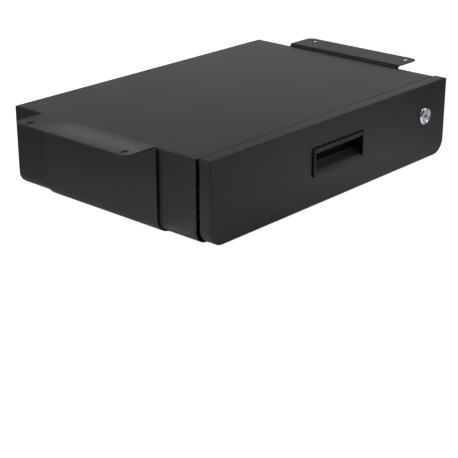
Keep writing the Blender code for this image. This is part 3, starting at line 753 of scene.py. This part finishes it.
def make_panel():
    """The front panel, a shallow pan with rounded edges, and what holds it to the tray."""
    rings = [
        (panel_outline(PANEL_EDGE * (1 - math.sin(angle))), PANEL_EDGE * (1 - math.cos(angle)))
        for angle in quarter_turn(8)
    ]
    rear_edge = PANEL_SHEET
    rings += [
        (panel_outline(rear_edge * (1 - math.cos(angle))), PANEL_DEPTH - rear_edge * (1 - math.sin(angle)))
        for angle in quarter_turn(8)
    ]
    behind_sides = (PANEL_SIDE_DEPTH - 0.1, PANEL_DEPTH + 5)
    cuts = [
        prism("XZ", panel_outline(PANEL_SHEET), PANEL_SHEET, PANEL_SIDE_DEPTH),
        box((-PANEL_WIDTH, PANEL_WIDTH), behind_sides, (-10, PANEL_TOP - PANEL_LIP)),
        prism("XZ", pull_outline(BEZEL_SIZE, PULL_GROOVE), -5, 5),
        turned("XZ", (LOCK_X, LOCK_Z), [(-5, BARREL_RADIUS + 0.4), (5, BARREL_RADIUS + 0.4)], sides=96),
    ]
    piece("front_panel", loft("XZ", rings), "powder_coat", "drawer", cuts)
    for name, side in SIDES.items():
        for level, z in zip(("lower", "upper"), STANDOFF_Z):
            place = (side * STANDOFF_X, z)
            standoff = turned("XZ", place, [
                (PANEL_SHEET + GAP, STANDOFF_RADIUS), (PANEL_DEPTH, STANDOFF_RADIUS),
                (PANEL_DEPTH, 2.4), (9.0, 2.4),
            ])
            piece(f"panel_standoff_{level}_{name}", standoff, "zinc_steel", "drawer", edge=0.2, steps=2)
            head = TRAY_FRONT + TRAY_FRONT_SHEET + GAP
            screw = turned("XZ", place, [
                (11.0, ROUND_SHANK), (head, ROUND_SHANK), (head, ROUND_HEAD), (head + 1.1, ROUND_HEAD),
                (head + 1.6, 3.5), (head + 2.0, 2.8),
            ])
            recess = cross_recess("XZ", place, head + 2.0, 1.4, 2.0, -1)
            piece(f"panel_screw_{level}_{name}", screw, "zinc_steel", "drawer", recess, edge=0.1, steps=2)


def make_tray():
    """The tray, an open box with rounded bottom edges, hollowed and drilled."""
    half = TRAY_WIDTH / 2
    bend = 1.6
    middle = (TRAY_FRONT + TRAY_REAR) / 2
    rings = []
    for angle in quarter_turn(6):
        inset = bend * (1 - math.sin(angle))
        outline = rectangle(
            TRAY_WIDTH - 2 * inset, TRAY_REAR - TRAY_FRONT - 2 * inset, 1.2, (0, middle), segments=6)
        rings.append((outline, TRAY_BOTTOM + bend * (1 - math.cos(angle))))
    rings.append((rings[-1][0], TRAY_TOP))
    middle = (TRAY_FRONT + TRAY_FRONT_SHEET + TRAY_REAR - TRAY_SHEET) / 2
    size = (TRAY_WIDTH - 2 * TRAY_SHEET, TRAY_REAR - TRAY_SHEET - TRAY_FRONT - TRAY_FRONT_SHEET)
    inner_bend = bend - TRAY_SHEET + 0.2
    inner = []
    for angle in quarter_turn(6):
        inset = inner_bend * (1 - math.sin(angle))
        inner.append((
            rectangle(size[0] - 2 * inset, size[1] - 2 * inset, 0.4, (0, middle), segments=4),
            TRAY_BOTTOM + TRAY_SHEET + inner_bend * (1 - math.cos(angle)),
        ))
    inner.append((inner[-1][0], TRAY_TOP + 5))
    cuts = [
        loft("XY", inner),
        turned("XZ", (LOCK_X, LOCK_Z), [(TRAY_FRONT - 1, 10.0), (TRAY_FRONT + 3, 10.0)], sides=64),
    ]
    front = (TRAY_FRONT - 1, TRAY_FRONT + 3)
    for side in SIDES.values():
        cuts.append(screw_hole("XZ", pull_screw_place(side), *front, PULL_SCREW_HOLE))
        for z in STANDOFF_Z:
            cuts.append(screw_hole("XZ", (side * STANDOFF_X, z), *front, TRAY_SCREW_HOLE))
        for y in TRAY_SCREW_Y:
            span = (side * (half - 3), side * (half + 1))
            cuts.append(screw_hole("YZ", (y, RAIL_Z), *span, TRAY_SCREW_HOLE))
    piece("drawer_tray", loft("XY", rings), "powder_coat", "drawer", cuts, edge=0.25)


def pull_outline(size, more, radius=2.0):
    return rectangle(size[0] + 2 * more, size[1] + 2 * more, max(radius + more, 0.4), (PULL_X, PULL_Z))


def pull_screw_place(side):
    return PULL_X + side * PULL_SCREW[0], PULL_Z + PULL_SCREW[1]


def make_pull():
    """The finger pull: a bezel proud of the panel, and a cup with a ramp that rises to its back wall."""
    width, height = PULL_OPENING
    behind = PANEL_SHEET + GAP
    cup_end = TRAY_FRONT - GAP
    back = cup_end - CUP_BACK
    low, high = PULL_Z - height / 2, PULL_Z + height / 2
    bezel, flange = pull_outline(BEZEL_SIZE, 0), pull_outline(BEZEL_SIZE, PULL_FLANGE)
    cup = pull_outline(PULL_OPENING, CUP_WALL)
    rings = [
        (pull_outline(BEZEL_SIZE, -0.8 * (1 - math.sin(angle))), 0.8 * (1 - math.cos(angle)) - BEZEL_PROUD)
        for angle in quarter_turn(6)
    ] + [
        (bezel, behind), (flange, behind), (flange, behind + CUP_WALL),
        (cup, behind + CUP_WALL), (cup, cup_end),
    ]
    roof = high - 1.0
    lip = (-0.8, 2.0)
    ramp = rounded_path([
        (-BEZEL_PROUD, low, 0), (back, low + PULL_SLOPE, PULL_FILLET), (back - PULL_LEAN, roof, 0),
    ], segments=16)
    overhang = rounded_path([
        (back - PULL_LEAN, roof, 0), (lip[1], roof, 0), (lip[1], high - PULL_LIP, 1.2),
        (lip[0], high - PULL_LIP, 1.2), (lip[0], high, 0), (-6, high, 0),
    ], segments=8)
    hollow = [Vector((-6, low))] + ramp + overhang[1:]
    cuts = [prism("YZ", hollow, PULL_X - width / 2, PULL_X + width / 2)]
    for side in SIDES.values():
        end = PULL_X + side * width / 2
        past_lip = sorted((end, end - side * PULL_LIP_INSET))
        cuts.append(box(past_lip, (lip[0] - 1, lip[1] + 1), (high - PULL_LIP - 1, high)))
        cuts.append(screw_hole("XZ", pull_screw_place(side), 10.5, cup_end + 1, 1.7))
    pull = piece("finger_pull", loft("XZ", rings), "black_plastic", "drawer", cuts, edge=0.35)
    pull.data.materials.append(FINISHES["cup"])
    pull.data.materials.append(FINISHES["ramp"])
    painted_shade_slot, painted_light_slot = 1, 2
    # painted shade on the cup's inner faces, and painted light on those that face upwards, by a darker and a
    # greyer copy of the plastic
    for face in pull.data.polygons:
        if face.center.y > (FACE + PAINTED_SHADE_START) * MM:
            face.material_index = painted_light_slot if face.normal.z > PAINTED_LIGHT_UPWARD else painted_shade_slot
    for name, side in SIDES.items():
        head = TRAY_FRONT + TRAY_FRONT_SHEET + GAP
        place = pull_screw_place(side)
        screw = turned("XZ", place, [
            (11.0, 1.4), (head, 1.4), (head, 2.8), (head + 0.8, 2.8), (head + 1.2, 2.4),
        ])
        recess = cross_recess("XZ", place, head + 1.2, 0.9, 1.5, -1)
        piece(f"pull_screw_{name}", screw, "zinc_steel", "drawer", recess, edge=0.1, steps=2)


# Lock ---------------------------------------------------------------------------------------------

def square_bar(half, front, rear):
    return box((LOCK_X - half, LOCK_X + half), (front, rear), (LOCK_Z - half, LOCK_Z + half))


def make_lock():
    """The cam lock: a ring and barrel in the panel, its nut, and the plug, cam and screw that turn in it."""
    axis = (LOCK_X, LOCK_Z)
    front = -LOCK_PROUD
    barrel = turned("XZ", axis, [
        (front + 0.6, BARREL_BORE), (front, BARREL_BORE + 0.7), (front, RING_RADIUS - 1.6),
        (front + 1.4, RING_RADIUS - 0.2), (-1.2, RING_RADIUS), (-GAP, RING_RADIUS), (-GAP, BARREL_RADIUS),
        (BARREL_REAR, BARREL_RADIUS), (BARREL_REAR, BARREL_BORE),
    ], sides=128, bored=True)
    notches = []
    for angle in (math.radians(63), math.radians(117)):
        place = (LOCK_X + math.cos(angle) * RING_RADIUS, LOCK_Z + math.sin(angle) * RING_RADIUS)
        notches.append(turned("XZ", place, [(front - 1, 1.3), (-1.4, 1.3)], sides=32))
    piece("lock_barrel", barrel, "chrome", "drawer", notches, edge=0.2)

    behind = PANEL_SHEET + GAP
    span = (behind, behind + 3.5)
    hexagon_nut("lock_nut", "XZ", axis, span, LOCK_NUT_RADIUS, BARREL_RADIUS + 0.4, "drawer")

    shoulder = BARREL_REAR - GAP
    stub_end = CAM_FRONT + CAM_SHEET - 0.2
    plug = turned("XZ", axis, [
        (front + 0.5, PLUG_RADIUS - 0.4), (front + 0.9, PLUG_RADIUS), (shoulder, PLUG_RADIUS),
    ], sides=96)
    stub = square_bar(STUB_HALF, shoulder - 2, stub_end)
    keyway = box((LOCK_X - 3.5, LOCK_X + 3.5), (front - 1, 12.0), (LOCK_Z - 1.2, LOCK_Z + 1.2))
    thread = screw_hole("XZ", axis, 16.0, stub_end + 1, 2.4)
    piece("lock_plug", plug, "turned", "lock_core", [keyway, thread], [stub], edge=0.2)

    hub, arm, tip = 8.5, 6.0, 3.0
    arm_start = math.asin(arm / hub)
    angles = [-math.pi + arm_start + (math.tau - 2 * arm_start) * step / 48 for step in range(49)]
    hub_end = [(LOCK_X + hub * math.cos(angle), LOCK_Z + hub * math.sin(angle)) for angle in angles]
    arm_end = rounded_path([
        (LOCK_X - hub, LOCK_Z + arm, 0), (LOCK_X - CAM_REACH, LOCK_Z + arm, tip),
        (LOCK_X - CAM_REACH, LOCK_Z - arm, tip), (LOCK_X - hub, LOCK_Z - arm, 0),
    ])[1:-1]
    hole = square_bar(STUB_HALF + GAP, CAM_FRONT - 1, CAM_FRONT + 4)
    cam = prism("XZ", hub_end + arm_end, CAM_FRONT, CAM_FRONT + CAM_SHEET)
    piece("lock_cam", cam, "zinc_steel", "lock_core", [hole], edge=0.25)

    head = CAM_FRONT + CAM_SHEET + GAP
    screw = turned("XZ", axis, [(17.0, 2.0), (head, 2.0), (head, 6.5), (head + 1.6, 6.5), (head + 2.6, 5.6)])
    recess = cross_recess("XZ", axis, head + 2.6, 1.8, 3.2, -1)
    piece("lock_cam_screw", screw, "zinc_steel", "lock_core", recess, edge=0.15, steps=2)


# Stage --------------------------------------------------------------------------------------------

def make_floor():
    """A plain pale floor. It glows towards the camera, so that it stays pale without strong lamps."""
    mesh = bpy.data.meshes.new("floor")
    ways = [(-1, -1), (1, -1), (1, 1), (-1, 1)]
    corners = [(x * FLOOR_REACH, y * FLOOR_REACH, FLOOR_BELOW) for x, y in ways]
    mesh.from_pydata(corners, [], [(0, 1, 2, 3)])
    floor = bpy.data.objects.new("floor", mesh)
    bpy.context.scene.collection.objects.link(floor)
    material = bpy.data.materials.new("floor")
    material.use_nodes = True
    nodes, links = material.node_tree.nodes, material.node_tree.links
    nodes.clear()
    out, both = nodes.new("ShaderNodeOutputMaterial"), nodes.new("ShaderNodeAddShader")
    matt, glow = nodes.new("ShaderNodeBsdfDiffuse"), nodes.new("ShaderNodeEmission")
    ray = nodes.new("ShaderNodeLightPath")
    strength = nodes.new("ShaderNodeMath")
    strength.operation = "MULTIPLY"
    strength.inputs[1].default_value = FLOOR_GLOW
    matt.inputs["Color"].default_value = (FLOOR_TONE, FLOOR_TONE, FLOOR_TONE, 1)
    links.new(ray.outputs["Is Camera Ray"], strength.inputs[0])
    links.new(strength.outputs[0], glow.inputs["Strength"])
    links.new(matt.outputs[0], both.inputs[0])
    links.new(glow.outputs[0], both.inputs[1])
    links.new(both.outputs[0], out.inputs["Surface"])
    mesh.materials.append(material)


def make_world():
    """A white backdrop for the camera, which gives hardly any light itself."""
    world = bpy.data.worlds.new("studio")
    world.use_nodes = True
    nodes, links = world.node_tree.nodes, world.node_tree.links
    background, ray = nodes["Background"], nodes.new("ShaderNodeLightPath")
    strength = nodes.new("ShaderNodeMapRange")
    strength.inputs["To Min"].default_value = WORLD_LIGHT
    strength.inputs["To Max"].default_value = WORLD_GLOW
    background.inputs["Color"].default_value = (1, 1, 1, 1)
    links.new(ray.outputs["Is Camera Ray"], strength.inputs["Value"])
    links.new(strength.outputs["Result"], background.inputs["Strength"])
    bpy.context.scene.world = world


def area_light(name, place, target, size, power, spread=180):
    light = bpy.data.lights.new(name, "AREA")
    light.shape = "RECTANGLE"
    light.size, light.size_y = size
    light.energy, light.color = power, LAMP_COLOUR
    light.spread = math.radians(spread)
    lamp = bpy.data.objects.new(name, light)
    bpy.context.scene.collection.objects.link(lamp)
    lamp.visible_camera = False
    lamp.location = place
    lamp.rotation_mode = "QUATERNION"
    lamp.rotation_quaternion = (Vector(target) - Vector(place)).to_track_quat("-Z", "Y")


def make_camera():
    camera = bpy.data.cameras.new("camera")
    camera.sensor_width = CAMERA_SENSOR
    camera.lens = CAMERA_LENS
    seat = bpy.data.objects.new("camera", camera)
    bpy.context.scene.collection.objects.link(seat)
    right, forward = Vector(CAMERA_RIGHT), Vector(CAMERA_FORWARD)
    up = right.cross(forward)
    turn = Matrix((right, up, -forward)).transposed().to_4x4()
    seat.matrix_world = Matrix.Translation(CAMERA_PLACE) @ turn
    bpy.context.scene.camera = seat


make_cradle()
make_case()
for side_name, side_way in SIDES.items():
    make_slide(side_name, side_way)
make_panel()
make_tray()
make_pull()
make_lock()
make_floor()
make_world()
for lamp_name, lamp_settings in LAMPS.items():
    area_light(lamp_name, *lamp_settings)
make_camera()
bpy.context.scene.view_settings.view_transform = "Standard"
